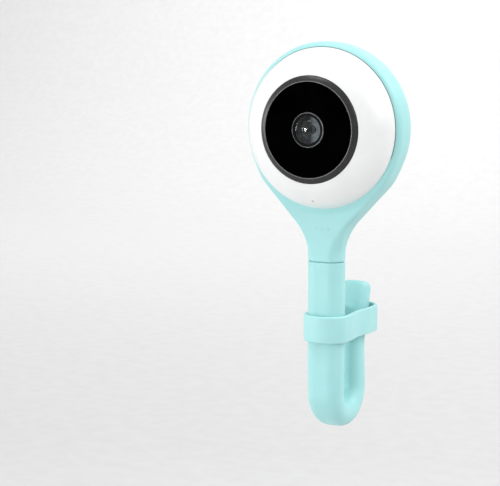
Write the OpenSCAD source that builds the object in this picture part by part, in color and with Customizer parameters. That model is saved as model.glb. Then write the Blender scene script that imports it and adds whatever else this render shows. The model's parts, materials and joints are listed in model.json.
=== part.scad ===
// Round camera head on a bendable oval stem, hooked round a rail and closed with an elastic clip band.
// Origin: middle of the rail space, between the front leg (-Y) and the back leg (+Y).

/* [Head] */
// Radius of the soft cover at its widest
cover_r = 35.2; // [32:0.1:40]
// Depth of the cover, from its front rim to its flat back
cover_d = 24; // [22:0.5:30]
// Radius of the white face where it meets the cover
rim_r = 33; // [31:0.1:33.4]
// Outer radius of the grey bevelled ring
ring_r = 21.9; // [21:0.1:23]
// Radius of the black front window
window_r = 19.35; // [18.6:0.05:19.4]
// How far the ring's outer edge stands in front of the rim
ring_out = 10.86; // [10:0.02:12]
// How far the front window stands in front of the rim
window_out = 12.1; // [11.8:0.1:12.5]
// Height of the head's centre above the origin
head_z = 103; // [100:1:115]

/* [Stem] */
// Half width of the stem's oval section at the top
stem_w = 7.97; // [7:0.01:9]
// Half depth of the stem's oval section at the top
stem_d = 5.46; // [4.8:0.02:5.6]
// Half width of the stem near its tip
tip_w = 6.2; // [5.6:0.1:7]
// Half depth of the stem near its tip
tip_d = 4.8; // [4.4:0.1:5]
// Radius of the U bend, on the stem's centre line
bend_r = 11.5; // [11:0.1:14]
// Height of the U bend's centre
bend_z = -8; // [-12:0.5:-6]
// Height of the seam between the neck and the stem
seam_z = 47.8; // [47:0.1:48.5]
// Length of the straight part of the back leg
back_len = 18; // [17:0.5:20]
// Lean of the tail away from the rail
tail_lean = 17; // [5:1:20]
// Length of the leaning tail
tail_len = 26; // [22:0.5:30]

/* [Clip] */
// Outer half width of the clip band
clip_w = 9.84; // [9.6:0.02:11]
// Height of the clip band
clip_h = 11.4; // [8:0.1:14]
// Height of the clip band's lower edge
clip_z = 13.8; // [13:0.1:16]

/* [Fit] */
// Play between hidden parts in one body
play = 0.1; // [0.05:0.01:0.15]
// Number of facets on round parts
smooth = 64; // [32:8:96]

/* [Hidden] */
$fn = smooth;
far = 200;

teal = "#aee4e4";
teal_shade = "#98cfd0";
white = "#fbfdfc";
dark = "#4a4a4c";
board_green = "#2f6b46";
steel = "#b8bcc0";

// the head stands over the front leg, whose axis lies this far behind the head's rim plane
leg_y = bend_r;
stem_f = -6;
head_y = -leg_y + stem_f;

// cover, shells and the boards between them
wall = 1.7;
cover_in_r = cover_r - wall;
shell_r = cover_in_r - play;
shell_in_r = shell_r - wall;
skirt_d = 6;
front_corner = 3;
back_corner = 17;
dome_r = 13.83;
dome_c = arc_centre([rim_r, 0], [ring_r, ring_out], dome_r);
flange_f = 7.3;
ledge_f = window_out - 1.35;
board_f = -8.2;
board_t = 1.2;
board_r = 29.5;
frame_f = -5.8;
frame_t = 1.2;
frame_r = 31.2;
frame_screw_r = 27;
frame_screw_a = 90;
board_screw_r = 26;

// lens, all on the head's axis
barrel_r = 6.95;
thread_r = 6;
lens_r = 6.5;
glass_f = 10;
bezel_r = 7.2;
led_r = 13;
holder_base = [24, 16, 5.2];
filter_size = [13, 8, 1];
filter_shift = 3.2;

// port, button and speaker on the back
port_z = -19;
port_size = [8.94, 3.26, 7.3];
port_f = -22.2;
recess_size = [12.4, 6.4];
button_x = 12;
button_r = 1.6;
speaker_z = 5;
speaker_r = 9.5;
speaker_f = -cover_d + 2 * wall + 0.05;
mic_angle = 44.5;

// neck outline: straight flanks that leave the head's circle, then a hollow fillet into the stem
flank_a = 42.9;
flank_r = cover_r + 0.4;
fillet_r = 20;
neck_corner_z = -(flank_r - stem_w * cos(flank_a)) / sin(flank_a);
fillet_len = fillet_r * tan(flank_a / 2);
tongue = [12, 22, 7.6];
tongue_h = -41.9;
anchor_r = 3;
anchor_top = -41;
seam_h = seam_z - head_z;

// stem pivots: one pair under the seam, six round the bend and one for the tail
lean_z = 45;
lean_range = 12;
tilt_z = 40;
tilt_range = 30;
links = 6;
step_a = 180 / links;
back_z = bend_z + back_len;
eye_r = 2;
pin_r = 0.9;
core_w = 8;
core_t = 3;
channel = [8.6, 4.8];
clip_back_y = 16.2;

function arc_centre(a, b, r) =
    let (m = (a + b) / 2, d = b - a, l = norm(d), h = sqrt(r * r - l * l / 4))
    m + h * [-d[1], d[0]] / l;
function bend_point(a, r = bend_r) = [-r * cos(a), bend_z - r * sin(a)];
function pivot_a(i) = step_a * (i - 0.5);
function taper(i) = i / (links + 2);
function half_w(i) = stem_w + (tip_w - stem_w) * taper(i);
function half_d(i) = stem_d + (tip_d - stem_d) * taper(i);

// ---- helpers ----

// local frame of the head: X right, Y up, Z towards the front
module head() translate([0, head_y, head_z]) rotate([90, 0, 0]) children();
module disc(r, f0, f1) translate([0, 0, f0]) cylinder(r = r, h = f1 - f0);
module tube(r, bore, f0, f1) difference() {
    disc(r, f0, f1);
    disc(bore, f0 - 1, f1 + 1);
}
module ring_of(n, r, first = 0)
    for (i = [0:n - 1]) rotate(first + i * 360 / n) translate([r, 0]) children();
module block(size, at) translate([at[0] - size[0] / 2, at[1] - size[1] / 2, at[2]]) cube(size);

// oval section as a rectangle between two circles, always exact
module oval(w, d) {
    for (s = [-1, 1]) translate([s * (w - d), 0]) circle(d);
    square([2 * (w - d), 2 * d], center = true);
}
module rounded_rect(size, r) {
    square([size[0] - 2 * r, size[1]], center = true);
    square([size[0], size[1] - 2 * r], center = true);
    for (x = [-1, 1], y = [-1, 1]) translate([x * (size[0] / 2 - r), y * (size[1] / 2 - r)]) circle(r);
}

// ---- head shells ----

module cover_profile(r, d, front, back) {
    square([r - back, d]);
    translate([0, back]) square([r, d - back - front]);
    translate([0, back]) square([r - front, d - back]);
    translate([r - front, d - front]) circle(front);
    intersection() {
        translate([r - back, back]) circle(back);
        square([r, d]);
    }
}
module neck_outline() {
    top = [flank_r * cos(flank_a), -flank_r * sin(flank_a)];
    start = [stem_w + fillet_len * sin(flank_a), neck_corner_z + fillet_len * cos(flank_a)];
    low = neck_corner_z - fillet_len;
    difference() {
        polygon([
            [-top[0], top[1]], [-start[0], start[1]], [-stem_w - fillet_r, low], [-stem_w, low],
            [-stem_w, seam_h], [stem_w, seam_h],
            [stem_w, low], [stem_w + fillet_r, low], start, top
        ]);
        for (s = [-1, 1]) translate([s * (stem_w + fillet_r), low]) circle(fillet_r);
    }
}
module head_cover() color(teal) head() difference() {
    union() {
        translate([0, 0, -cover_d]) rotate_extrude()
            cover_profile(cover_r, cover_d, front_corner, back_corner);
        translate([0, 0, stem_f - stem_d]) linear_extrude(2 * stem_d) intersection() {
            neck_outline();
            translate([-far / 2, seam_h + 3]) square([far, far]);
        }
        translate([0, seam_h, stem_f]) rotate([-90, 0, 0]) linear_extrude(6) oval(stem_w, stem_d);
    }
    disc(rim_r + 0.05, -skirt_d, 1);
    translate([0, 0, -cover_d + wall]) rotate_extrude()
        cover_profile(cover_in_r, cover_d - wall - skirt_d + 0.1, 0.5, back_corner - wall);
    block(tongue + [0.2, 1.2, 0.2], [0, tongue_h + 0.4, stem_f - tongue[2] / 2 - 0.1]);
    translate([0, seam_h - 1, stem_f]) rotate([-90, 0, 0]) cylinder(r = anchor_r + 0.05, h = 5);
    translate([0, port_z, -cover_d - 1]) linear_extrude(4) rounded_rect(recess_size, 3.1);
    translate([button_x, port_z + 2, -cover_d - 1]) cylinder(r = button_r + 0.4, h = 4);
    translate([0, speaker_z]) {
        disc(0.9, -cover_d - 1, -cover_d + 3);
        ring_of(6, 3.6) disc(0.9, -cover_d - 1, -cover_d + 3);
        ring_of(10, 6.9) disc(0.9, -cover_d - 1, -cover_d + 3);
    }
}
module back_shell() color(white) head() difference() {
    union() {
        translate([0, 0, -cover_d + wall + play]) rotate_extrude()
            cover_profile(shell_r, cover_d - wall - skirt_d - 2 * play, 0.5, back_corner - wall);
        block(tongue, [0, tongue_h, stem_f - tongue[2] / 2]);
    }
    translate([0, 0, -cover_d + 2 * wall]) rotate_extrude()
        cover_profile(shell_in_r, cover_d, 0.5, back_corner - 2 * wall);
    disc(rim_r, -skirt_d - 0.05, 0);
    translate([0, seam_h, stem_f]) rotate([-90, 0, 0]) cylinder(r = anchor_r + 0.05, h = 17);
    translate([0, port_z, -cover_d]) linear_extrude(8) rounded_rect([9.2, 3.5], 1.7);
    translate([button_x, port_z + 2, -cover_d]) cylinder(r = button_r + 0.3, h = 8);
    translate([0, speaker_z]) {
        disc(0.8, -cover_d, -cover_d + 6);
        ring_of(6, 3.6) disc(0.8, -cover_d, -cover_d + 6);
        ring_of(10, 6.9) disc(0.8, -cover_d, -cover_d + 6);
    }
}
module dome_profile(r) intersection() {
    union() {
        translate(dome_c) circle(r);
        square([dome_c[0], dome_c[1] + r]);
    }
    square([rim_r, ring_out]);
}
module face_shell() color(white) head() difference() {
    union() {
        rotate_extrude() dome_profile(dome_r);
        disc(rim_r - 0.05, -skirt_d + 0.05, 0);
    }
    difference() {
        rotate_extrude() dome_profile(dome_r - wall);
        disc(ring_r + 1.4, flange_f, ring_out);
        ring_of(3, frame_screw_r, frame_screw_a) disc(2.6, -1, ring_out);
    }
    difference() {
        disc(rim_r - wall, -skirt_d - 1, 0.01);
        ring_of(3, frame_screw_r, frame_screw_a) disc(2.6, frame_f + frame_t + 0.02, 1);
    }
    ring_of(3, frame_screw_r, frame_screw_a) disc(0.95, -skirt_d, 3);
    disc(ring_r + 0.05, flange_f + 1.2, ring_out + 2);
    disc(17.5, 0, ring_out + 2);
    at_mic() cylinder(r = 0.5, h = 8, center = true);
}
// stands on the dome's outer surface at the bottom, pointing out of it
module at_mic() rotate(-90)
    translate([dome_c[0] + dome_r * cos(mic_angle), 0, dome_c[1] + dome_r * sin(mic_angle)])
    rotate([0, 90 - mic_angle, 0]) children();
module window_ring() color(dark) head() rotate_extrude() polygon([
    [window_r + 0.1, window_out], [ring_r - 0.05, ring_out], [ring_r - 0.05, flange_f + 1.3],
    [18.2, flange_f + 1.3], [18.2, ledge_f - 0.1], [window_r + 0.1, ledge_f - 0.1]
]);
module front_window() color("#0b0b0c") head() tube(window_r, bezel_r + 0.15, ledge_f, window_out);

// ---- lens stack ----

module lens_ring() color("#77787a") head() rotate_extrude() polygon([
    [lens_r + 0.1, 11.65], [bezel_r, 11.65], [bezel_r, window_out + 0.05],
    [bezel_r - 0.25, window_out + 0.2], [lens_r + 0.2, window_out - 0.1]
]);
module lens_front() color([0.25, 0.28, 0.3, 0.6]) head() intersection() {
    disc(lens_r, glass_f, 14);
    translate([0, 0, 13.1 - 16]) sphere(r = 16, $fn = 96);
}
module lens_barrel() color("#18181a") head() difference() {
    union() {
        disc(barrel_r, 5.9, 11.6);
        disc(thread_r, -1.6, 7);
    }
    disc(lens_r + 0.05, glass_f, 12);
    disc(5.2, 3.8, 12);
    disc(4.5, -3, 4);
}
module aperture_stop() color("#101010") head() tube(5.1, 1.6, 6.2, 6.5);
module lens_rear() color([0.5, 0.62, 0.75, 0.5]) head() intersection() {
    disc(4.4, -1, 3.2);
    translate([0, 0, 3.2 - 9]) sphere(r = 9, $fn = 96);
}
module lens_holder() color("#222224") head() difference() {
    union() {
        disc(7.8, -2, 4.5);
        block(holder_base, [0, 0, board_f + board_t]);
    }
    disc(thread_r + 0.02, -2.4, 5);
    block([21, 10, 2.4], [0, 0, -4.7]);
    block([10, 9, 3], [0, 0, board_f + board_t - 0.5]);
    disc(4, -4, -1);
}
module filter_frame() color("#8d8f92") head() translate([-filter_shift, 0, -4]) difference() {
    block(filter_size, [0, 0, 0]);
    for (s = [-1, 1]) block([5.4, 6.4, 3], [s * filter_shift, 0, -1]);
}
module filter_glass() for (s = [-1, 1])
    color(s > 0 ? [0.55, 0.8, 0.85, 0.5] : [0.95, 0.97, 1, 0.4]) head()
        block([5.2, 6.2, 0.5], [-filter_shift + s * filter_shift, 0, -3.75]);
module filter_coil() color("#a8642c") head()
    translate([-5, holder_base[1] / 2 + 2.2, -4.2]) rotate([0, 90, 0]) {
    cylinder(r = 1.9, h = 10);
    for (x = [0, 9]) translate([0, 0, x]) cylinder(r = 2.1, h = 1);
}
module image_sensor() color("#2a3a4a") head() block([8, 7, 0.9], [0, 0, board_f + board_t + 0.05]);

// ---- boards ----

module main_board() color(board_green) head() difference() {
    disc(board_r, board_f, board_f + board_t);
    ring_of(4, board_screw_r, 45) disc(1, board_f - 1, 0);
}
module board_chips() color("#1b1b1d") head() translate([0, 0, board_f]) mirror([0, 0, 1]) {
    block([12, 12, 1.3], [0, 0, 0.02]);
    block([9, 11, 1], [-13, -3, 0.02]);
    block([6, 5, 0.8], [12, -5, 0.02]);
    block([4, 4, 1.6], [-11, 10, 0.02]);
    for (i = [0:3]) block([1.6, 0.9, 0.8], [10 + 2.4 * i, 4, 0.02]);
    for (i = [0:4]) block([0.9, 1.6, 0.7], [-18 + 2 * i, -12, 0.02]);
}
module heat_plate() color(steel) head() block([26, 15, 1], [0, 0, board_f - 2.4]);
module wifi_shield() color(steel) head() difference() {
    block([15, 10, 2], [0, 18, board_f - 2.02]);
    block([14.4, 9.4, 2], [0, 18, board_f - 1.72]);
}
module antenna() color("#c98f4a") head() translate([0, 0, frame_f - 6.4]) rotate(60)
    rotate_extrude(angle = 60) translate([board_r + 0.35, 0]) square([0.5, 5.9]);
module ir_led_board() color("#1d2b22") head() tube(17.2, barrel_r + 0.3, flange_f + 0.05, 8.3);
module ir_leds() color([0.25, 0.1, 0.16]) head() ring_of(8, led_r, 22.5) {
    disc(1.7, 8.32, 9);
    intersection() {
        disc(1.4, 8.9, 11);
        translate([0, 0, 9]) sphere(r = 1.4, $fn = 32);
    }
}
module light_sensor() color("#d8d6c8") head() block([2, 1.6, 0.8], [0, led_r, 8.32]);
module microphone() color("#c9b27a") head() at_mic() block([3.4, 2.6, 1], [0, 0, -wall - 2.2]);
module mic_gasket() color("#202020") head() at_mic() tube(1.4, 0.6, -wall - 1.15, -wall - 0.15);

// ---- speaker, port and button on the back ----

module speaker_frame() color("#303236") head() translate([0, speaker_z, speaker_f]) difference() {
    union() {
        disc(speaker_r, 0, 1.2);
        disc(7.6, 1, 4.4);
    }
    disc(8.2, -1, 0.8);
    disc(6.9, 0.5, 3.8);
    disc(4.6, 3, 5);
}
module speaker_cone() color("#15161a") head() translate([0, speaker_z, speaker_f + 0.05])
    rotate_extrude() polygon([
        [0, 1.5], [2.2, 1.5], [6.8, 0.5], [8.1, 0.5],
        [8.1, 0.7], [6.9, 0.7], [2.3, 1.75], [0, 1.75]
    ]);
module speaker_magnet() color("#8e9094") head() translate([0, speaker_z, speaker_f]) disc(4.5, 2.4, 6);
module usb_port() color(steel) head() translate([0, port_z, port_f]) difference() {
    linear_extrude(port_size[2]) rounded_rect([port_size[0], port_size[1]], 1.6);
    translate([0, 0, -1]) linear_extrude(port_size[2])
        rounded_rect([port_size[0] - 0.6, port_size[1] - 0.6], 1.3);
}
module usb_tongue() color("#1a1a1a") head() block([6.7, 0.7, 4.6], [0, port_z, port_f + 1.7]);
module usb_board() color(board_green) head()
    block([21.1, 1, 6.8], [4.05, port_z - port_size[1] / 2 - 0.55, -cover_d + 2 * wall + 2.8]);
module reset_switch() color("#2b2b2d") head()
    translate([button_x - 2.25, port_z - port_size[1] / 2 - 0.04, -18.3]) cube([4.5, 4.6, 3.4]);
module reset_button() color(white) head() translate([button_x, port_z + 2, 0]) {
    disc(button_r, -cover_d, -18.75);
    disc(button_r + 0.9, -19.3, -18.75);
}
module mid_frame() color("#d9dbdc") head() difference() {
    union() {
        tube(frame_r, 15.5, frame_f, frame_f + frame_t);
        ring_of(4, board_screw_r, 45) disc(2.2, board_f + board_t + 0.02, frame_f + 0.1);
    }
    ring_of(4, board_screw_r, 45) disc(0.85, -20, 0);
    ring_of(3, frame_screw_r, frame_screw_a) disc(1, -20, 0);
}
module screw(head_r, shank_r, tall, long) {
    difference() {
        disc(head_r, -tall, 0);
        translate([0, 0, -tall - 1]) cylinder(r = 0.8, h = 1.6, $fn = 6);
    }
    disc(shank_r, -0.1, long);
}
module board_screws() color(steel) head() ring_of(4, board_screw_r, 45) translate([0, 0, board_f - 0.02])
    screw(1.8, 0.8, 1.1, 3.4);
module frame_screws() color(steel) head() ring_of(3, frame_screw_r, frame_screw_a)
    translate([0, 0, frame_f - 0.02]) screw(1.7, 0.9, 1, 5);

// ---- stem core: short links that hinge on pins ----

// bar from a pivot to the next one along +Z, with an eye below (at the start) and a fork at the end
module eye() difference() {
    rotate([0, 90, 0]) cylinder(r = eye_r, h = 4, center = true);
    rotate([0, 90, 0]) cylinder(r = pin_r + 0.05, h = 9, center = true);
}
module fork() {
    for (s = [-1, 1]) translate([s * (core_w / 2 - 0.9), 0, 0]) rotate([0, 90, 0])
        cylinder(r = eye_r, h = 1.8, center = true);
    rotate([0, 90, 0]) cylinder(r = pin_r, h = core_w, center = true);
}
module fork_arms(up) for (s = [-1, 1])
    translate([s * (core_w / 2 - 0.9) - 0.9, -core_t / 2, up > 0 ? 0 : -2.3]) cube([1.8, core_t, 2.3]);
module eye_arm(up) difference() {
    translate([-2, -core_t / 2, up > 0 ? 0 : -2.3]) cube([4, core_t, 2.3]);
    rotate([0, 90, 0]) cylinder(r = pin_r + 0.05, h = 9, center = true);
}
module link(len) {
    fork();
    fork_arms(1);
    translate([-core_w / 2, -core_t / 2, 2.25]) cube([core_w, core_t, len - 4.5]);
    translate([0, 0, len]) {
        eye();
        eye_arm(-1);
    }
}
// places a +Z link so that it runs from one point to another in the YZ plane
module between(a, b) translate([0, a[0], a[1]])
    rotate([atan2(-(b[0] - a[0]), b[1] - a[1]), 0, 0]) children();

function pivot(i) = bend_point(pivot_a(i));
tail_pivot = [leg_y, back_z];
tail_dir = [sin(tail_lean), cos(tail_lean)];
link_len = norm(pivot(2) - pivot(1));

module stem_anchor() color(steel) translate([0, -leg_y, 0]) {
    translate([0, 0, lean_z + 2.3]) cylinder(r = anchor_r, h = head_z + anchor_top - lean_z - 2.3);
    translate([0, 0, lean_z]) rotate(90) {
        fork();
        fork_arms(1);
        translate([-core_w / 2, -core_t / 2, 2.25]) cube([core_w, core_t, 0.5]);
    }
}
module core_upper() color(steel) translate([0, -leg_y, tilt_z]) {
    fork();
    fork_arms(1);
    translate([-core_w / 2, -core_t / 2, 2.25]) cube([core_w, core_t, 0.5]);
    translate([0, 0, lean_z - tilt_z]) rotate(90) {
        eye();
        eye_arm(-1);
    }
}
module core_front() color(steel) {
    translate([0, -leg_y, tilt_z]) {
        eye();
        eye_arm(-1);
    }
    translate([-core_w / 2, -leg_y - core_t / 2, bend_z]) cube([core_w, core_t, tilt_z - bend_z - 2.25]);
    between(pivot(1), [-leg_y, bend_z + 1]) {
        fork();
        fork_arms(1);
        translate([-core_w / 2, -core_t / 2, 2.25]) cube([core_w, core_t, 1.2]);
    }
}
module core_u(i) color(steel) between(pivot(i + 1), pivot(i)) link(link_len);
module core_u1() core_u(1);
module core_u2() core_u(2);
module core_u3() core_u(3);
module core_u4() core_u(4);
module core_u5() core_u(5);
module core_back() color(steel) {
    between(pivot(6), [leg_y, bend_z + 1]) {
        eye();
        eye_arm(1);
        translate([-core_w / 2, -core_t / 2, 2.25]) cube([core_w, core_t, 1.2]);
    }
    translate([-core_w / 2, leg_y - core_t / 2, bend_z + 0.4]) cube([core_w, core_t, back_len - 2.65]);
    translate([0, leg_y, back_z]) {
        fork();
        fork_arms(-1);
    }
}
module core_tail() color(steel) between(tail_pivot, tail_pivot + tail_dir) {
    eye();
    eye_arm(1);
    translate([-core_w / 2 + 0.5, -core_t / 2, 2.25]) cube([core_w - 1, core_t, tail_len - 8]);
}

// ---- stem sleeve: one soft piece per link, cut so that the stem can bend and straighten ----

module leg(i, from, to, y = -leg_y) translate([0, y, from]) difference() {
    linear_extrude(to - from) oval(half_w(i), half_d(i));
    translate([0, 0, -1]) linear_extrude(to - from + 2) square(channel, center = true);
}
// wedge about a pivot in the X or Y direction that opens up or down by an angle each side
module wedge(z, a, axis, up) translate([0, -leg_y, z]) rotate(axis == "x" ? 0 : 90) rotate([90, 0, 90])
    linear_extrude(40, center = true)
        polygon([[0, 0], [20, up * 20 * tan(a)], [20, -up * 5], [-20, -up * 5], [-20, up * 20 * tan(a)]]);
// room for the lean pivot's fork, which stands across the channel
module lean_room() translate([-channel[1] / 2, -leg_y - channel[0] / 2, lean_z - 2.4])
    cube([channel[1], channel[0], 6]);
module sleeve_top() color(teal) difference() {
    leg(0, lean_z, seam_z - 0.15);
    wedge(lean_z + 0.1, lean_range / 2 + 0.5, "y", 1);
    lean_room();
    translate([0, -leg_y, lean_z + 2]) cylinder(r = 3.1, h = 3);
}
module sleeve_upper() color(teal) difference() {
    leg(0, tilt_z, lean_z);
    lean_room();
    wedge(lean_z - 0.1, lean_range / 2 + 0.5, "y", -1);
    wedge(tilt_z + 0.1, tilt_range / 2 + 0.5, "x", 1);
}
module bend_ring(i) translate([0, 0, bend_z]) rotate([0, 90, 0]) rotate_extrude() difference() {
    translate([bend_r, 0]) rotate(90) oval(half_w(i), half_d(i));
    translate([bend_r, 0]) rotate(90) square(channel, center = true);
}
module sleeve_front() color(teal) {
    difference() {
        leg(0, bend_z, tilt_z);
        wedge(tilt_z - 0.1, tilt_range / 2 + 0.5, "x", -1);
    }
    intersection() {
        bend_ring(0);
        span(0, -1, pivot_a(1));
    }
}
// slab of the bend between two angles: inside the pivots it is a sector, outside it has parallel faces
module span(mid, low, high) {
    reach = bend_r * 2.2;
    g = 0.12;
    translate([0, 0, bend_z]) rotate([90, 0, 90]) linear_extrude(40, center = true)
        if (low < 0) polygon([
            [0, -g], bend_r * [-cos(high), -sin(high)] + [0, g],
            [-reach, -bend_r * sin(high) + g], [-reach, 0], [0, 0]
        ]);
        else rotate(mid) polygon([
            [-0.5, 0], [-bend_r * cos(step_a / 2), bend_r * sin(step_a / 2) - g],
            [-reach, bend_r * sin(step_a / 2) - g], [-reach, -bend_r * sin(step_a / 2) + g],
            [-bend_r * cos(step_a / 2), -bend_r * sin(step_a / 2) + g]
        ]);
}
module sleeve_u(i) color(i % 2 == 0 ? teal : teal_shade) intersection() {
    bend_ring(i);
    span(step_a * i, 0, 0);
}
module sleeve_u1() sleeve_u(1);
module sleeve_u2() sleeve_u(2);
module sleeve_u3() sleeve_u(3);
module sleeve_u4() sleeve_u(4);
module sleeve_u5() sleeve_u(5);
module sleeve_back() color(teal) {
    difference() {
        leg(links, bend_z, back_z, leg_y);
        tail_cut(-1);
    }
    mirror([0, 1, 0]) intersection() {
        bend_ring(links);
        span(0, -1, pivot_a(1));
    }
}
// removes what lies past the plane that halves the tail's angle, and past the piece's own square end
module tail_cut(side) translate([0, leg_y, back_z])
    for (a = [tail_lean / 2, side > 0 ? tail_lean : 0]) rotate([-a, 0, 0])
        translate([-20, -20, side > 0 ? -40 + 0.1 : -0.1]) cube([40, 40, 40]);
module sleeve_tail() color(teal) difference() {
    translate([0, leg_y, back_z]) rotate([-tail_lean, 0, 0]) translate([0, 0, -3]) difference() {
        union() {
            linear_extrude(tail_len + 3 - tip_d) oval(tip_w, tip_d);
            translate([0, 0, tail_len + 3 - tip_d]) tip();
        }
        translate([0, 0, -1]) linear_extrude(tail_len - 1) square(channel, center = true);
    }
    tail_cut(1);
}
module tip() {
    for (s = [-1, 1]) translate([s * (tip_w - tip_d), 0, 0]) sphere(r = tip_d);
    rotate([0, 90, 0]) cylinder(r = tip_d, h = 2 * (tip_w - tip_d), center = true);
}

// ---- clip band ----

module clip_outline(w, d) {
    translate([0, -leg_y]) oval(w, d);
    translate([-w, -leg_y]) square([2 * w, clip_back_y + leg_y]);
    translate([0, clip_back_y]) circle(w);
}
module clip_band() color("#b8eeee") translate([0, 0, clip_z]) linear_extrude(clip_h) difference() {
    clip_outline(clip_w, stem_d + 2.74);
    clip_outline(stem_w + 0.07, stem_d + 0.44);
}

head_cover();
back_shell();
face_shell();
window_ring();
front_window();
lens_ring();
lens_front();
lens_barrel();
aperture_stop();
lens_rear();
lens_holder();
filter_frame();
filter_glass();
filter_coil();
image_sensor();
main_board();
board_chips();
heat_plate();
wifi_shield();
antenna();
ir_led_board();
ir_leds();
light_sensor();
microphone();
mic_gasket();
speaker_frame();
speaker_cone();
speaker_magnet();
usb_port();
usb_tongue();
usb_board();
reset_button();
reset_switch();
mid_frame();
board_screws();
frame_screws();
stem_anchor();
sleeve_top();
core_upper();
sleeve_upper();
core_front();
sleeve_front();
core_u1();
core_u2();
core_u3();
core_u4();
core_u5();
sleeve_u1();
sleeve_u2();
sleeve_u3();
sleeve_u4();
sleeve_u5();
core_back();
sleeve_back();
core_tail();
sleeve_tail();
clip_band();
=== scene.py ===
"""Looks of the baby monitor camera: soft cover, domed face, lens, bending stem and clip band."""

import json
import math

import bmesh
import bpy
import numpy as np
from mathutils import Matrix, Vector


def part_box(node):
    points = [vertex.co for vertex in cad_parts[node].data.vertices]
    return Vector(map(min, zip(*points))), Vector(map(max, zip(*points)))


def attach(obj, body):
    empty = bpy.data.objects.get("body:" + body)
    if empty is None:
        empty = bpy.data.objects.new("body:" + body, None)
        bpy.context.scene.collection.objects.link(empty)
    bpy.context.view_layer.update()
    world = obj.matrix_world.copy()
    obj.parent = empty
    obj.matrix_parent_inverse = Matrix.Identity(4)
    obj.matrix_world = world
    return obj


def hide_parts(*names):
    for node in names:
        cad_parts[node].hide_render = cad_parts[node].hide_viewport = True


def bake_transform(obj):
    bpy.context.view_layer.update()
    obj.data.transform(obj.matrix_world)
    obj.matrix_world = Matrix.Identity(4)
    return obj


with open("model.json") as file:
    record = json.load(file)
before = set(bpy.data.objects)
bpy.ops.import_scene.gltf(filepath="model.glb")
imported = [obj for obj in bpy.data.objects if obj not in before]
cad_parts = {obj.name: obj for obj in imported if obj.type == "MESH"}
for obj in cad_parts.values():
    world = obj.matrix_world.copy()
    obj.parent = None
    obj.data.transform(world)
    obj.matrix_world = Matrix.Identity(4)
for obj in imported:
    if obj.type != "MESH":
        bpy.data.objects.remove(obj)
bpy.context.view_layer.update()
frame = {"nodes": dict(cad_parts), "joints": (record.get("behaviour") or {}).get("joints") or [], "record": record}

MM = 0.001
TAU = 2 * math.pi
scene = bpy.context.scene
nodes = frame["nodes"]
joints = {j["name"]: j for j in frame["joints"]}


def box_mm(node):
    """Lowest and highest corner of a CAD node, in millimetres."""
    lo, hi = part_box(node)
    return np.array(lo) / MM, np.array(hi) / MM


# ---- driving sizes, mostly read from the frame, in millimetres ----

cover_lo, cover_hi = box_mm("head_cover")
face_lo, face_hi = box_mm("face_shell")
window_lo, window_hi = box_mm("front_window")
ring_lo, ring_hi = box_mm("window_ring")
bezel_lo, bezel_hi = box_mm("lens_ring")
glass_lo, glass_hi = box_mm("lens_front")
leg_lo, leg_hi = box_mm("sleeve_front")
top_lo, top_hi = box_mm("sleeve_top")
tail_lo, tail_hi = box_mm("sleeve_tail")
clip_lo, clip_hi = box_mm("clip_band")
port_lo, port_hi = box_mm("usb_port")
button_lo, button_hi = box_mm("reset_button")

COVER_R = (cover_hi[0] - cover_lo[0]) / 2
HEAD_Z = cover_hi[2] - COVER_R
BACK_Y = cover_hi[1]
RIM_R = (face_hi[0] - face_lo[0]) / 2
STEM_W = (leg_hi[0] - leg_lo[0]) / 2
TIP_W = (tail_hi[0] - tail_lo[0]) / 2
SEAM_Z = cover_lo[2]

hook = np.array(joints["hook_open"]["pos_m"]) / MM
tail_pivot = np.array(joints["tail_bend"]["pos_m"]) / MM
LINK_ANGLE = math.radians(joints["hook_open"]["range_deg"][1])
LINKS = round(math.pi / LINK_ANGLE)
BEND_R = tail_pivot[1]
BEND_Z = hook[2] + BEND_R * math.sin(LINK_ANGLE / 2)
LEG_Y = -BEND_R
STEM_D = (top_hi[1] - top_lo[1]) / 2
TIP_D = 4.8  # half depth of the tail's tip
STEM_BACK = 6.0  # from the face's rim back to the stem's middle plane
RIM_Y = LEG_Y - STEM_BACK
TAIL_LEAN = math.radians(joints["tail_bend"]["range_deg"][1])
TILT_Z = joints["head_tilt"]["pos_m"][2] / MM
LEAN_Z = joints["head_lean"]["pos_m"][2] / MM
AXIS = (0.0, RIM_Y, HEAD_Z)  # the head's axis runs along Y through this point


# ---- mesh helpers ----

def finish_mesh(name, verts, faces, body=None, sharp=40):
    """Makes an object from points in millimetres, with smooth shading and sharp edges over an angle."""
    mesh = bpy.data.meshes.new(name)
    mesh.from_pydata((np.asarray(verts, float) * MM).tolist(), [], [tuple(f) for f in faces])
    mesh.validate()
    shade(mesh, sharp)
    piece = bpy.data.objects.new(name, mesh)
    scene.collection.objects.link(piece)
    if body:
        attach(piece, body)
    return piece


def shade(mesh, sharp=40):
    """Turns all faces outwards, shades them smooth and marks edges sharper than an angle."""
    bm = bmesh.new()
    bm.from_mesh(mesh)
    bmesh.ops.recalc_face_normals(bm, faces=bm.faces)
    for f in bm.faces:
        f.smooth = True
    limit = math.radians(sharp)
    for e in bm.edges:
        e.smooth = len(e.link_faces) != 2 or e.calc_face_angle(0) < limit
    bm.to_mesh(mesh)
    bm.free()


def arc(centre, r, start, end, n=10):
    """Points on a circle arc, angles in degrees."""
    return [
        (centre[0] + r * math.cos(math.radians(a)), centre[1] + r * math.sin(math.radians(a)))
        for a in np.linspace(start, end, n)
    ]


def dome(r, crown, start, end, n, side=1):
    """(radius, y) points on a ball of radius r with its crown at a y, between two angles off the axis."""
    return [
        (r * math.sin(math.radians(a)), crown + side * r * (1 - math.cos(math.radians(a))))
        for a in np.linspace(start, end, n)
    ]


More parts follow.
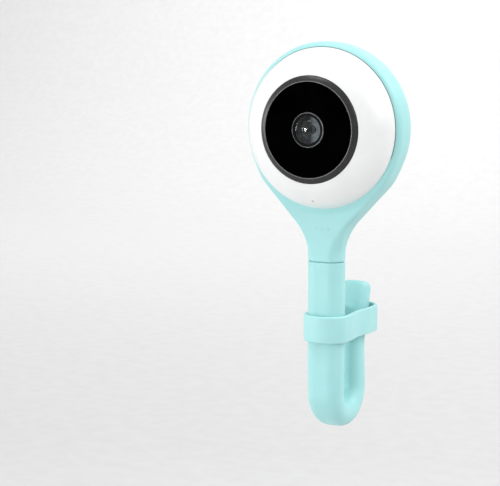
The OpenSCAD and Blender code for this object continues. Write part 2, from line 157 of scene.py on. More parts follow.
def rounded_outline(centre, size, r, n):
    """Rectangle with round corners of n points each."""
    outline = []
    for k, (sx, sz) in enumerate(((1, 1), (-1, 1), (-1, -1), (1, -1))):
        corner = (centre[0] + sx * (size[0] / 2 - r), centre[1] + sz * (size[1] / 2 - r))
        outline += arc(corner, r, 90 * k, 90 * (k + 1), n)
    return outline


def lathe(name, profile, centre, body, segments=160):
    """Outline of (radius, y) points turned about an axis along Y, and closed unless it ends on that axis."""
    verts, faces, rings = [], [], []
    for r, y in profile:
        if abs(r) < 1e-6:
            rings.append([len(verts)])
            verts.append((centre[0], centre[1] + y, centre[2]))
            continue
        rings.append(list(range(len(verts), len(verts) + segments)))
        for k in range(segments):
            a = TAU * k / segments
            verts.append((centre[0] + r * math.cos(a), centre[1] + y, centre[2] + r * math.sin(a)))
    count = len(rings)
    closed = len(rings[0]) > 1 and len(rings[-1]) > 1
    for i in range(count if closed else count - 1):
        a, b = rings[i], rings[(i + 1) % count]
        for k in range(segments):
            k2 = (k + 1) % segments
            if len(a) == 1:
                faces.append((a[0], b[k2], b[k]))
            elif len(b) == 1:
                faces.append((a[k], a[k2], b[0]))
            else:
                faces.append((a[k], a[k2], b[k2], b[k]))
    return finish_mesh(name, verts, faces, body)


def cut(piece, cutter):
    """Subtracts one mesh from another and removes the cutter."""
    mod = piece.modifiers.new("cut", "BOOLEAN")
    mod.operation, mod.solver, mod.object = "DIFFERENCE", "EXACT", cutter
    bpy.context.view_layer.update()
    evaluated = piece.evaluated_get(bpy.context.evaluated_depsgraph_get())
    mesh = bpy.data.meshes.new_from_object(evaluated)
    piece.modifiers.remove(mod)
    piece.data = mesh
    bpy.data.objects.remove(cutter)
    shade(mesh)


def iso_mesh(name, field, lo, hi, step, body):
    """Surface where a signed distance field is 0: a point in each grid cell it crosses, moved onto it."""
    axes = [np.arange(a, b + step, step) for a, b in zip(lo, hi)]
    grid = np.stack(np.meshgrid(*axes, indexing="ij"), -1)
    value = field(grid.reshape(-1, 3)).reshape(grid.shape[:3])
    inside = value < 0
    corners = [(i, j, k) for i in (0, 1) for j in (0, 1) for k in (0, 1)]
    shape = tuple(n - 1 for n in value.shape)
    total = sum(
        inside[i:i + shape[0], j:j + shape[1], k:k + shape[2]].astype(np.int8) for i, j, k in corners
    )
    active = (total > 0) & (total < 8)
    index = -np.ones(shape, int)
    cells = np.argwhere(active)
    index[tuple(cells.T)] = np.arange(len(cells))
    points = np.stack([axes[n][cells[:, n]] + step / 2 for n in range(3)], 1)
    faces = []
    for n in range(3):
        m, p = (n + 1) % 3, (n + 2) % 3
        a = inside.take(range(value.shape[n] - 1), n)
        b = inside.take(range(1, value.shape[n]), n)
        edges = np.argwhere(a != b)
        edges = edges[(edges[:, m] > 0) & (edges[:, p] > 0)]
        edges = edges[(edges[:, m] < shape[m]) & (edges[:, p] < shape[p])]
        quad = []
        for dm, dp in ((1, 1), (0, 1), (0, 0), (1, 0)):
            cell = edges.copy()
            cell[:, m] -= dm
            cell[:, p] -= dp
            quad.append(index[tuple(cell.T)])
        faces.append(np.stack(quad, 1))
    for _ in range(6):
        points = on_surface(field, points)
    return finish_mesh(name, points, np.concatenate(faces).tolist(), body, sharp=60)


def on_surface(field, points, h=0.02):
    """One Newton step of each point towards the field's surface."""
    value = field(points)
    slope = np.stack([
        (field(points + h * e) - field(points - h * e)) / (2 * h) for e in np.eye(3)
    ], 1)
    size = np.maximum((slope ** 2).sum(1), 0.05)
    return points - np.clip(value / size, -0.5, 0.5)[:, None] * slope


# ---- signed distances for the soft cover ----

def rounded(d, reach):
    """Distance to a rounded corner, given the two distances to its faces."""
    a, b = d
    return np.minimum(np.maximum(a, b) + reach, 0) - reach + np.hypot(
        np.maximum(a + reach, 0), np.maximum(b + reach, 0))


def smooth_min(a, b, k):
    """The smaller of two distances, with the crease between them filled over a width of about k."""
    h = np.clip(0.5 + 0.5 * (b - a) / k, 0, 1)
    return b + (a - b) * h - k * h * (1 - h)


def step_to(x, low, high):
    """Smooth step from 0 at low to 1 at high."""
    t = np.clip((x - low) / (high - low), 0, 1)
    return t * t * (3 - 2 * t)


FLANK = math.radians(42.9)  # lean of the neck's sides
FLANK_R = COVER_R + 0.4
FILLET_R = 20.0  # hollow where the flanks turn into the stem
CORNER_Z = -(FLANK_R - STEM_W * math.cos(FLANK)) / math.sin(FLANK)
FILLET_LEN = FILLET_R * math.tan(FLANK / 2)
NECK_TOP = -FLANK_R * math.sin(FLANK)  # where a flank leaves the head's circle
NECK_IN = 12.0  # the neck's plate ends this far below the head's middle
NECK_SINK = 1.7  # and sinks this far into the cover's side on its way there

FRONT_CORNER, BACK_CORNER = 3.0, 17.0  # radii of the cover's front and back edge
NECK_EDGE = 1.2  # radius of the neck's edge near the head
ROUND_FROM, ROUND_TO = 36.0, 54.0  # below the head's middle, where that edge turns into a half round
SEAM_EDGE = 0.35
NECK_BLEND, LIP_BLEND = 1.6, 0.3  # softness of the join with the neck and of the cover's lip
WALL_SIDE, WALL_BACK = 0.8, 1.9  # the cover's wall at the rim and at the back


def neck_outline(x, z):
    """Distance to the neck's side: the head's circle, then a flank, a hollow fillet and the straight stem."""
    rise = np.clip((z - CORNER_Z + FILLET_LEN) / FILLET_R, 0, math.sin(FLANK))
    slope = np.sqrt(1 - rise ** 2)
    flank = (FLANK_R + z * math.sin(FLANK)) / math.cos(FLANK)
    hollow = STEM_W + FILLET_R * (1 - slope)
    half = np.where(rise < math.sin(FLANK), hollow, flank)
    above = np.hypot(x, z) - FLANK_R + NECK_SINK * step_to(z, NECK_TOP, -NECK_IN)
    return np.where(z > NECK_TOP, above, (np.abs(x) - half) * slope)


def cover_field(p):
    """Signed distance to the cover: a rounded dish joined with the neck's plate, hollow behind the face."""
    x, y, z = p[:, 0], p[:, 1] - RIM_Y, p[:, 2] - HEAD_Z
    r = np.hypot(x, z)
    depth = BACK_Y - RIM_Y
    side = r - COVER_R
    front = rounded((side, -y), FRONT_CORNER)
    back = rounded((side, y - depth), BACK_CORNER)
    dish = np.maximum(front, back)
    edge = NECK_EDGE + (STEM_D - NECK_EDGE - 0.05) * step_to(-z, ROUND_FROM, ROUND_TO)
    paddle = rounded((neck_outline(x, z), np.abs(y - STEM_BACK) - STEM_D), edge)
    paddle = rounded((paddle, SEAM_Z - HEAD_Z - z), SEAM_EDGE)
    paddle = np.maximum(paddle, z + NECK_IN)
    outer = smooth_min(dish, paddle, NECK_BLEND)
    cavity = rounded((r - RIM_R + WALL_SIDE, y - depth + WALL_BACK), BACK_CORNER - 1.5)
    return -smooth_min(-outer, cavity, LIP_BLEND)


# ---- materials ----

GLASS_IOR = 1.33


def new_material(name):
    """Empty node tree with a Principled shader on its output."""
    material = bpy.data.materials.new(name)
    material.use_nodes = True
    tree = material.node_tree
    tree.nodes.clear()
    out = tree.nodes.new("ShaderNodeOutputMaterial")
    shader = tree.nodes.new("ShaderNodeBsdfPrincipled")
    tree.links.new(shader.outputs[0], out.inputs[0])
    return material, tree, shader


def noise(tree, scale, detail=4, stretch=(1, 1, 1)):
    """Noise in the row frame's own coordinates, scale in waves per metre."""
    where = tree.nodes.new("ShaderNodeTexCoord")
    mapping = tree.nodes.new("ShaderNodeMapping")
    mapping.inputs["Scale"].default_value = stretch
    tree.links.new(where.outputs["Object"], mapping.inputs[0])
    texture = tree.nodes.new("ShaderNodeTexNoise")
    texture.inputs["Scale"].default_value = scale
    texture.inputs["Detail"].default_value = detail
    tree.links.new(mapping.outputs[0], texture.inputs["Vector"])
    return texture.outputs["Fac"]


def ramp(tree, value, low, high):
    """Remaps a 0 to 1 value to two colours or two numbers."""
    if isinstance(low, (int, float)):
        node = tree.nodes.new("ShaderNodeMapRange")
        node.inputs["From Min"].default_value = 0.3
        node.inputs["From Max"].default_value = 0.7
        node.inputs["To Min"].default_value = low
        node.inputs["To Max"].default_value = high
        tree.links.new(value, node.inputs["Value"])
        return node.outputs[0]
    node = tree.nodes.new("ShaderNodeValToRGB")
    node.color_ramp.elements[0].position, node.color_ramp.elements[1].position = 0.3, 0.7
    node.color_ramp.elements[0].color = (*low, 1)
    node.color_ramp.elements[1].color = (*high, 1)
    tree.links.new(value, node.inputs[0])
    return node.outputs[0]


def bump(tree, shader, height, strength, distance):
    """Bump mapping from a height socket, distance in metres."""
    node = tree.nodes.new("ShaderNodeBump")
    node.inputs["Strength"].default_value = strength
    node.inputs["Distance"].default_value = distance
    tree.links.new(height, node.inputs["Height"])
    tree.links.new(node.outputs[0], shader.inputs["Normal"])


def moulded(name, low, high, rough=(0.4, 0.5), grain=2500, depth=0.00003, coarse=90, **fixed):
    """Moulded plastic or rubber: mottled colour, uneven gloss and a fine grain."""
    material, tree, shader = new_material(name)
    tree.links.new(ramp(tree, noise(tree, coarse, 3), low, high), shader.inputs["Base Color"])
    tree.links.new(ramp(tree, noise(tree, grain / 3), *rough), shader.inputs["Roughness"])
    bump(tree, shader, noise(tree, grain, 2), 0.35, depth)
    for socket, value in fixed.items():
        shader.inputs[socket.replace("_", " ")].default_value = value
    return material


def silicone(name, low, high):
    """Soft matt rubber that lets a little light in."""
    material = moulded(name, low, high, rough=(0.42, 0.52), grain=3200, depth=0.00002)
    shader = material.node_tree.nodes["Principled BSDF"]
    shader.inputs["Subsurface Weight"].default_value = 0.12
    shader.inputs["Subsurface Radius"].default_value = (0.0012, 0.0024, 0.0024)
    shader.inputs["Specular IOR Level"].default_value = 0.4
    shader.inputs["Sheen Weight"].default_value = 0.15
    shader.inputs["Sheen Roughness"].default_value = 0.4
    return material


def turned(name, low, high, rough, metallic=0.0, pitch=6000, depth=0.00002):
    """Turned surface: fine rings about the head's axis."""
    material, tree, shader = new_material(name)
    where = tree.nodes.new("ShaderNodeTexCoord")
    mapping = tree.nodes.new("ShaderNodeMapping")
    mapping.inputs["Location"].default_value = (0, 0, -HEAD_Z * MM)
    tree.links.new(where.outputs["Object"], mapping.inputs[0])
    wave = tree.nodes.new("ShaderNodeTexWave")
    wave.wave_type, wave.rings_direction = "RINGS", "Y"
    wave.inputs["Scale"].default_value = pitch / TAU
    wave.inputs["Distortion"].default_value = 0.4
    tree.links.new(mapping.outputs[0], wave.inputs["Vector"])
    tree.links.new(ramp(tree, noise(tree, 260), low, high), shader.inputs["Base Color"])
    tree.links.new(ramp(tree, noise(tree, 900), *rough), shader.inputs["Roughness"])
    bump(tree, shader, wave.outputs["Fac"], 0.3, depth)
    shader.inputs["Metallic"].default_value = metallic
    return material


def brushed(name, low, high, rough=(0.25, 0.4)):
    """Bare metal with a long grain."""
    material, tree, shader = new_material(name)
    grain = noise(tree, 900, 5, stretch=(0.08, 1, 1))
    tree.links.new(ramp(tree, grain, low, high), shader.inputs["Base Color"])
    tree.links.new(ramp(tree, grain, *rough), shader.inputs["Roughness"])
    bump(tree, shader, grain, 0.25, 0.00002)
    shader.inputs["Metallic"].default_value = 1.0
    return material


def circuit_board(name):
    """Green solder mask with raised tracks."""
    material, tree, shader = new_material(name)
    where = tree.nodes.new("ShaderNodeTexCoord")
    cells = tree.nodes.new("ShaderNodeTexVoronoi")
    cells.distance = "MANHATTAN"
    cells.feature = "F1"
    cells.inputs["Scale"].default_value = 320
    tree.links.new(where.outputs["Object"], cells.inputs["Vector"])
    track = ramp(tree, cells.outputs["Distance"], (0.01, 0.09, 0.04), (0.02, 0.16, 0.07))
    tree.links.new(track, shader.inputs["Base Color"])
    tree.links.new(ramp(tree, noise(tree, 700), 0.3, 0.45), shader.inputs["Roughness"])
    bump(tree, shader, cells.outputs["Distance"], 0.3, 0.00003)
    return material


def glass(name, tint, rough=(0.0, 0.03)):
    """Clear tinted glass, with a low refractive index to keep the studio out of its reflections."""
    material, tree, shader = new_material(name)
    shader.inputs["Transmission Weight"].default_value = 1.0
    shader.inputs["IOR"].default_value = GLASS_IOR
    low = tuple(0.9 * c for c in tint)
    tree.links.new(ramp(tree, noise(tree, 300), low, tint), shader.inputs["Base Color"])
    tree.links.new(ramp(tree, noise(tree, 500), *rough), shader.inputs["Roughness"])
    return material


def painted_crescent_bowl(name):
    """Inner lens bowl with a painted reflection: its colour runs from dark on the -X side to pale on the +X side,
    a bright crescent and shade painted in, with soft painted blotches between.
    """
    material, tree, shader = new_material(name)
    where = tree.nodes.new("ShaderNodeTexCoord")
    split = tree.nodes.new("ShaderNodeSeparateXYZ")
    tree.links.new(where.outputs["Object"], split.inputs[0])
    across = tree.nodes.new("ShaderNodeMapRange")
    across.interpolation_type = "SMOOTHSTEP"
    across.inputs["From Min"].default_value = -0.8 * MM
    across.inputs["From Max"].default_value = 1.8 * MM
    tree.links.new(split.outputs["X"], across.inputs["Value"])
    blend = tree.nodes.new("ShaderNodeMath")
    blend.operation = "MULTIPLY"
    tree.links.new(across.outputs[0], blend.inputs[0])
    tree.links.new(ramp(tree, noise(tree, 260, 2), 0.45, 1.0), blend.inputs[1])
    # painted reflection: near black on the -X side to pale on the +X side, standing in for the light the bowl
    # would reflect
    colour = tree.nodes.new("ShaderNodeValToRGB")
    colour.color_ramp.elements[0].color = (0.006, 0.007, 0.007, 1)
    colour.color_ramp.elements[1].color = (0.80, 0.81, 0.82, 1)
    tree.links.new(blend.outputs[0], colour.inputs[0])
    tree.links.new(colour.outputs[0], shader.inputs["Base Color"])
    tree.links.new(ramp(tree, noise(tree, 700), 0.3, 0.4), shader.inputs["Roughness"])
    shader.inputs["Specular IOR Level"].default_value = 0.15
    return material


AQUA = ((0.345, 0.66, 0.665), (0.365, 0.69, 0.69))

MATERIALS = {
    "cover_silicone": silicone("cover_silicone", *AQUA),
    "sleeve_silicone": silicone("sleeve_silicone", *AQUA),
    "clip_silicone": silicone("clip_silicone", (0.36, 0.67, 0.675), (0.38, 0.70, 0.70)),
    "face_plastic": moulded("face_plastic", (0.77, 0.78, 0.775), (0.81, 0.82, 0.815), rough=(0.28, 0.36),
                            depth=0.00001, Coat_Weight=0.25, Coat_Roughness=0.15),
    "shell_plastic": moulded("shell_plastic", (0.80, 0.81, 0.81), (0.86, 0.87, 0.87)),
    "ring_plastic": turned("ring_plastic", (0.008, 0.008, 0.0085), (0.013, 0.013, 0.014), (0.26, 0.36)),
    # painted highlight: a lighter copy of the ring's turned plastic, standing in for light caught on the ring's
    # inner edge
    "ring_edge": turned("ring_edge", (0.07, 0.07, 0.072), (0.11, 0.11, 0.112), (0.2, 0.3)),
    "window_black": moulded("window_black", (0.0003, 0.0003, 0.0004), (0.0008, 0.0008, 0.0009),
                            rough=(0.03, 0.06), grain=300, depth=0.000001, Specular_IOR_Level=0.0),
    "bezel_metal": turned("bezel_metal", (0.10, 0.11, 0.11), (0.18, 0.19, 0.19), (0.2, 0.3), 0.8),
    "lens_glass": glass("lens_glass", (0.75, 0.82, 0.85)),
    "filter_glass": glass("filter_glass", (0.5, 0.8, 0.85)),
    # painted reflection: the lens bowl's colour holds a pale crescent on one side and dark shade on the other
    "lens_bowl": painted_crescent_bowl("lens_bowl"),
    "lens_black": moulded("lens_black", (0.004, 0.004, 0.0045), (0.007, 0.007, 0.0075),
                          Specular_IOR_Level=0.03),
    "black_plastic": moulded("black_plastic", (0.012, 0.012, 0.013), (0.025, 0.025, 0.027)),
    "frame_plastic": moulded("frame_plastic", (0.42, 0.43, 0.43), (0.52, 0.53, 0.53)),
    "button_plastic": moulded("button_plastic", (0.74, 0.75, 0.75), (0.82, 0.83, 0.83)),
    "board": circuit_board("board"),
    "chips": moulded("chips", (0.012, 0.012, 0.012), (0.03, 0.03, 0.03), rough=(0.45, 0.6)),
    "sensor": moulded("sensor", (0.02, 0.05, 0.09), (0.05, 0.09, 0.14), rough=(0.08, 0.16)),
    "led_resin": moulded("led_resin", (0.05, 0.012, 0.02), (0.09, 0.02, 0.04), rough=(0.05, 0.12)),
    "steel": brushed("steel", (0.45, 0.46, 0.48), (0.62, 0.63, 0.65)),
    "copper": brushed("copper", (0.50, 0.20, 0.07), (0.66, 0.30, 0.12)),
    # painted shadow: the cover's aqua darkened, standing in for the contact shadow where the face meets the cover
    "seal_rubber": moulded("seal_rubber", (0.11, 0.19, 0.195), (0.13, 0.22, 0.225), rough=(0.6, 0.8)),
    "gasket": moulded("gasket", (0.012, 0.012, 0.012), (0.03, 0.03, 0.03), rough=(0.7, 0.9), grain=1800),
}


def paint(piece, look):
    """Gives a piece its material."""
    piece.data.materials.clear()
    piece.data.materials.append(MATERIALS[look])


def paint_cad_nodes():
    """Gives every CAD node the look of its slot in the record."""
    for part in frame["record"]["subparts"]:
        node = nodes[part["node"]]
        material = MATERIALS[part["material_slot"]]
        if not node.data.materials:
            node.data.materials.append(material)
        for n in range(len(node.material_slots)):
            node.material_slots[n].material = material


# ---- head ----

DOME_OUT = 10.86  # how far the face's opening stands out from its rim
DOME_R = 13.83  # radius of the face's bulge, seen from the side
FACE_WALL = 1.7
FACE_SKIRT = 5.9  # how deep the face reaches into the cover
PORT_HOLE, PORT_CORNER = (12.4, 6.4), 3.1
BUTTON_HOLE_R = 2.0
GRILLE = ((1, 0.0), (6, 3.6), (10, 6.9))  # rings of speaker holes: count and radius
GRILLE_HOLE_R = 0.9
MIC_R = 0.5
LENS_BALL, LENS_BACK_BALL = 16.0, 7.5  # radii of the front glass's two faces
BOWL_R, BOWL_BALL = 5.6, 8.2  # the bowl with the painted reflection: radius of its rim and of its curve
COLLAR_R = 5.65  # inner radius of the black collar


def middle_of(lo, hi):
    """Centre (x, z) of a box."""
    return ((lo[0] + hi[0]) / 2, (lo[2] + hi[2]) / 2)


def pin(name, at, r, y0, y1, segments=48):
    """Plain round cutter along Y."""
    return lathe(name, [(0, y0), (r, y0), (r, y1), (0, y1)], (at[0], 0, at[1]), None, segments)


def rounded_slot(name, at, size, y0, y1, r):
    """Cutter with an oblong outline in the XZ plane."""
    outline = rounded_outline(at, size, r, 12)
    n = len(outline)
    verts = [(x, y, z) for y in (y0, y1) for x, z in outline]
    faces = [(k, (k + 1) % n, n + (k + 1) % n, n + k) for k in range(n)]
    faces += [tuple(range(n)), tuple(range(n, 2 * n))]
    return finish_mesh(name, verts, faces)


def make_cover():
    """Soft cover with its neck, and holes at the back for the port, the button and the speaker."""
    room = 1.2
    lo = (cover_lo[0] - room, RIM_Y - room, cover_lo[2] - room)
    hi = (cover_hi[0] + room, BACK_Y + room, cover_hi[2] + room)
    step = 0.55
    cover = iso_mesh("head_cover_skin", cover_field, lo, hi, step, "head")
    through = (BACK_Y - 4, BACK_Y + 2)
    port, button = middle_of(port_lo, port_hi), middle_of(button_lo, button_hi)
    cut(cover, rounded_slot("port_cut", port, PORT_HOLE, *through, PORT_CORNER))
    cut(cover, pin("button_cut", button, BUTTON_HOLE_R, *through))
    speaker_z = middle_of(*box_mm("speaker_frame"))[1]
    for count, r in GRILLE:
        for k in range(count):
            a = TAU * k / count
            at = (r * math.cos(a), speaker_z + r * math.sin(a))
            cut(cover, pin("grille_cut", at, GRILLE_HOLE_R, *through, 24))
    paint(cover, "cover_silicone")
    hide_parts("head_cover")


def make_face():
    """White dome: convex from the rim to the opening, with a skirt inside the cover and a seal bead round it,
    whose darkened aqua is a painted contact shadow between face and cover.
    """
    ring_r = (ring_hi[0] - ring_lo[0]) / 2 + 0.05
    chord = np.array([ring_r - RIM_R, DOME_OUT])
    middle = np.array([RIM_R, 0]) + chord / 2
    height = math.sqrt(DOME_R ** 2 - (chord @ chord) / 4)
    centre = middle + height * np.array([-chord[1], chord[0]]) / np.linalg.norm(chord)
    a0 = math.degrees(math.atan2(-centre[1], RIM_R - centre[0]))
    a1 = math.degrees(math.atan2(DOME_OUT - centre[1], ring_r - centre[0]))
    outer = [(r, -f) for r, f in arc(centre, DOME_R, a0, a1, 48)]
    inner = [(r, -f) for r, f in arc(centre, DOME_R - FACE_WALL, a1, a0 + 2, 32)]
    profile = [(RIM_R - 0.5, FACE_SKIRT), (RIM_R - 0.5, 0.35), (RIM_R - 0.08, 0.12)] + outer
    profile += [(ring_r, -9.2), (ring_r + 0.3, -9.0)] + inner + [(RIM_R - 2.2, FACE_SKIRT)]
    face = lathe("face_dome", profile, AXIS, "head", 256)

    # the microphone's hole runs from its gasket out through the dome, square to its surface
    lo, hi = box_mm("mic_gasket")
    at = (lo + hi) / 2
    direction = np.array([0, AXIS[1] - centre[1], AXIS[2] - centre[0]]) - at
    direction /= np.linalg.norm(direction)
    cutter = pin("mic_cut", (0, 0), MIC_R, -4, 6, 32)
    turn = Vector((0, 1, 0)).rotation_difference(Vector(-direction))
    cutter.data.transform(turn.to_matrix().to_4x4())
    for v in cutter.data.vertices:
        v.co += Vector(at * MM)
    cut(face, cutter)
    paint(face, "face_plastic")
    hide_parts("face_shell")

    # seal bead: a real bead shape, its dark aqua a painted contact shadow along the face's rim
    bead = [(RIM_R, 0.4), (RIM_R, -0.03), (RIM_R + 0.1, -0.06), (RIM_R + 0.22, 0.0), (RIM_R + 0.26, 0.4)]
    seal = lathe("face_seal_painted_shadow", bead, AXIS, "head", 256)
    paint(seal, "seal_rubber")


def make_window():
    """Grey bevelled ring, the thin bright line inside it, a lighter copy of the ring's plastic as a painted
    highlight, and the flat black window.
    """
    inner, outer = (window_hi[0] - window_lo[0]) / 2, (ring_hi[0] - ring_lo[0]) / 2
    front, edge = window_lo[1] - RIM_Y, -DOME_OUT
    seat = window_hi[1] - RIM_Y
    profile = [(inner + 0.1, seat), (inner + 0.1, front + 0.25), (inner + 0.22, front + 0.02)]
    profile += [(inner + 0.4, front)]
    profile += [(inner + 0.4 + t * (outer - inner - 0.6), front + t * t * 0.25 + t * (edge - front - 0.45))
                for t in np.linspace(0.1, 0.95, 10)]
    profile += [(outer, edge + 0.25), (outer, seat + 2.2), (inner - 1, seat + 2.2), (inner - 1, seat)]
    ring = lathe("window_bevel", profile, AXIS, "head", 256)
    paint(ring, "ring_plastic")
    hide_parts("window_ring")

    # painted highlight: a thin bead round the window in the lighter copy of the ring's plastic, for the light its
    # inner edge catches
    line = [(inner + 0.02, front + 0.3), (inner + 0.02, front - 0.08), (inner + 0.1, front - 0.14)]
    line += [(inner + 0.3, front - 0.14), (inner + 0.38, front - 0.08), (inner + 0.38, front + 0.02)]
    highlight_line = lathe("window_edge", line, AXIS, "head", 256)
    paint(highlight_line, "ring_edge")

    bore = (bezel_hi[0] - bezel_lo[0]) / 2 + 0.1
    profile = [(bore, seat - 0.02), (inner, seat - 0.02), (inner, front + 0.15), (inner - 0.15, front)]
    profile += [(bore + 0.1, front), (bore, front + 0.1)]
    window = lathe("window_pane", profile, AXIS, "head", 256)
    paint(window, "window_black")
    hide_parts("front_window")


def make_lens():
    """Bright bezel, domed front glass, the bowl behind it with its painted reflection and the black collar round
    it.
    """
    bezel_r = (bezel_hi[0] - bezel_lo[0]) / 2
    y0, y1 = bezel_lo[1] - RIM_Y, bezel_hi[1] - RIM_Y
    profile = [(bezel_r - 0.6, y1), (bezel_r, y1), (bezel_r, y0 + 0.25), (bezel_r - 0.2, y0)]
    profile += [(bezel_r - 0.35, y0 + 0.02), (bezel_r - 0.6, y0 + 0.5)]
    bezel = lathe("lens_bezel", profile, AXIS, "head", 192)
    paint(bezel, "bezel_metal")
    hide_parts("lens_ring")

    lens_r = (glass_hi[0] - glass_lo[0]) / 2
    crown, base = glass_lo[1] - RIM_Y, glass_hi[1] - RIM_Y
    rim_angle = math.degrees(math.asin(lens_r / LENS_BALL))
    profile = dome(LENS_BALL, crown, 0, rim_angle, 28) + [(lens_r, base)]
    profile += dome(LENS_BACK_BALL, base - 2.2, 48, 0, 20)
    front = lathe("lens_front_glass", profile, AXIS, "head", 160)
    paint(front, "lens_glass")
    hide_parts("lens_front")

    stop = box_mm("aperture_stop")[0][1] - RIM_Y
    low = min(stop - 0.15, base + 2.6)
    inside = dome(BOWL_BALL, low, 14, math.degrees(math.asin(BOWL_R / BOWL_BALL)), 24, side=-1)
    profile = inside + [(BOWL_R + 0.2, inside[-1][1]), (BOWL_R + 0.2, low), (inside[0][0], low + 0.1)]
    # a real bowl shape; its colour is a painted reflection, pale on the +X side and dark on the -X side
    cup = lathe("lens_bowl", profile, AXIS, "head", 96)
    paint(cup, "lens_bowl")

    outer = bezel_r - 0.24
    pane = window_lo[1] - RIM_Y
    profile = [(COLLAR_R, pane + 0.1), (COLLAR_R, pane - 0.06), (COLLAR_R + 0.2, pane - 0.14)]
    profile += [(outer, pane - 0.14), (outer, pane + 0.1)]
    collar = lathe("lens_collar", profile, AXIS, "head", 160)
    paint(collar, "lens_black")


def make_button():
    """Reset button: a flange that keeps it in, and a slightly dished cap with a round edge."""
    flange, edge = 0.9, 0.35
    r = (button_hi[0] - button_lo[0]) / 2 - flange
    x, z = middle_of(button_lo, button_hi)
    centre = (x, 0, z)
    y0, y1 = button_lo[1], button_hi[1]
    profile = [(0, y0), (r + flange, y0), (r + flange, y0 + 0.7), (r, y0 + 0.7), (r, y1 - edge)]
    profile += arc((r - edge, y1 - edge), edge, 0, 90, 6) + [(r * 0.5, y1 - 0.1), (0, y1 - 0.15)]
    button = lathe("reset_cap", profile, centre, "button", 64)
    paint(button, "button_plastic")
    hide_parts("reset_button")


def make_neck_dots():
    """Three plain raised dots on the neck's front."""
    r, height, pitch, drop = 0.6, 0.14, 3.0, 41.5
    y = RIM_Y + STEM_BACK - STEM_D
    shoulder = y - 0.02
    profile = [(0, y + 0.3), (r, y + 0.3), (r, shoulder)]
    profile += [(r * math.cos(a), shoulder - height * math.sin(a)) for a in np.linspace(0.2, 1.4, 6)]
    profile += [(0, shoulder - height)]
    for k in (-1, 0, 1):
        dot = lathe(f"neck_dot_{k + 2}", profile, (pitch * k, 0, HEAD_Z - drop), "head", 32)
        paint(dot, "cover_silicone")


# ---- stem ----

def oval_ring(w, d, n=72):
    """Oval outline: a flat of 2(w - d) on each side joined by round ends, evenly spaced."""
    flat = 2 * (w - d)
    length = 2 * flat + TAU * d
    points = []
    for s in np.arange(n) * length / n:
        if s < flat:
            points.append((-flat / 2 + s, -d))
        elif s < flat + math.pi * d:
            a = -math.pi / 2 + (s - flat) / d
            points.append((flat / 2 + d * math.cos(a), d * math.sin(a)))
        elif s < 2 * flat + math.pi * d:
            points.append((flat / 2 - (s - flat - math.pi * d), d))
        else:
            a = math.pi / 2 + (s - 2 * flat - math.pi * d) / d
            points.append((-flat / 2 + d * math.cos(a), d * math.sin(a)))
    return points


BEND_TOP = TILT_Z - 4.5  # height where the bend of head_tilt ends
LEAN_LOW = (TILT_Z + LEAN_Z) / 2 + 1  # height where head_lean's bend passes on to head_tilt's
DOWN_LEN = SEAM_Z - BEND_Z  # path length from the seam to the U bend
ARC_LEN = BEND_R * math.pi
TAIL_START = tail_pivot[2] - BEND_Z
TAIL_ARC_R = 18.0
TAIL_ARC = TAIL_ARC_R * TAIL_LEAN
TAIL_LEN = 26.0
TAPER_FROM, TAPER_TO = 0.28, 0.98  # shares of the path's length
TIP_POWER = 3.6  # bluntness of the rounded tip
TIP_RINGS = 18
TIP_SOLID = 20  # the core's hollow stops this many rings before the tip
CORE_W, CORE_D = 4.7, 2.7  # half width and half depth of the hollow for the core
FULL_LEN = DOWN_LEN + ARC_LEN + TAIL_START + TAIL_LEN


def stem_size(s):
    """Half width and half depth at a path length from the seam."""
    t = step_to(s, TAPER_FROM * FULL_LEN, TAPER_TO * FULL_LEN)
    return STEM_W + (TIP_W - STEM_W) * t, STEM_D + (TIP_D - STEM_D) * t


def stem_frame(s):
    """Centre (y, z) and heading, as the angle from straight down, at a path length from the seam."""
    if s < DOWN_LEN:
        return (LEG_Y, SEAM_Z - s), 0.0
    s -= DOWN_LEN
    if s < ARC_LEN:
        a = s / BEND_R
        return (-BEND_R * math.cos(a), BEND_Z - BEND_R * math.sin(a)), a
    s -= ARC_LEN
    first = TAIL_START - TAIL_ARC / 2
    if s < first:
        return (BEND_R, BEND_Z + s), math.pi
    s -= first
    a = min(s / TAIL_ARC_R, TAIL_LEAN)
    y = BEND_R + TAIL_ARC_R * (1 - math.cos(a))
    z = BEND_Z + first + TAIL_ARC_R * math.sin(a)
    rest = max(s - TAIL_ARC, 0)
    return (y + rest * math.sin(TAIL_LEAN), z + rest * math.cos(TAIL_LEAN)), math.pi - a


def section(s, w, d):
    """The oval outline of half sizes w and d, set across the path."""
    (cy, cz), a = stem_frame(s)
    return [(x, cy + math.cos(a) * t, cz + math.sin(a) * t) for x, t in oval_ring(w, d)]


def ring_places(start, end):
    """Evenly spaced path lengths from one to another."""
    fine = 0.4
    return np.linspace(start, end, max(3, int((end - start) / fine)))


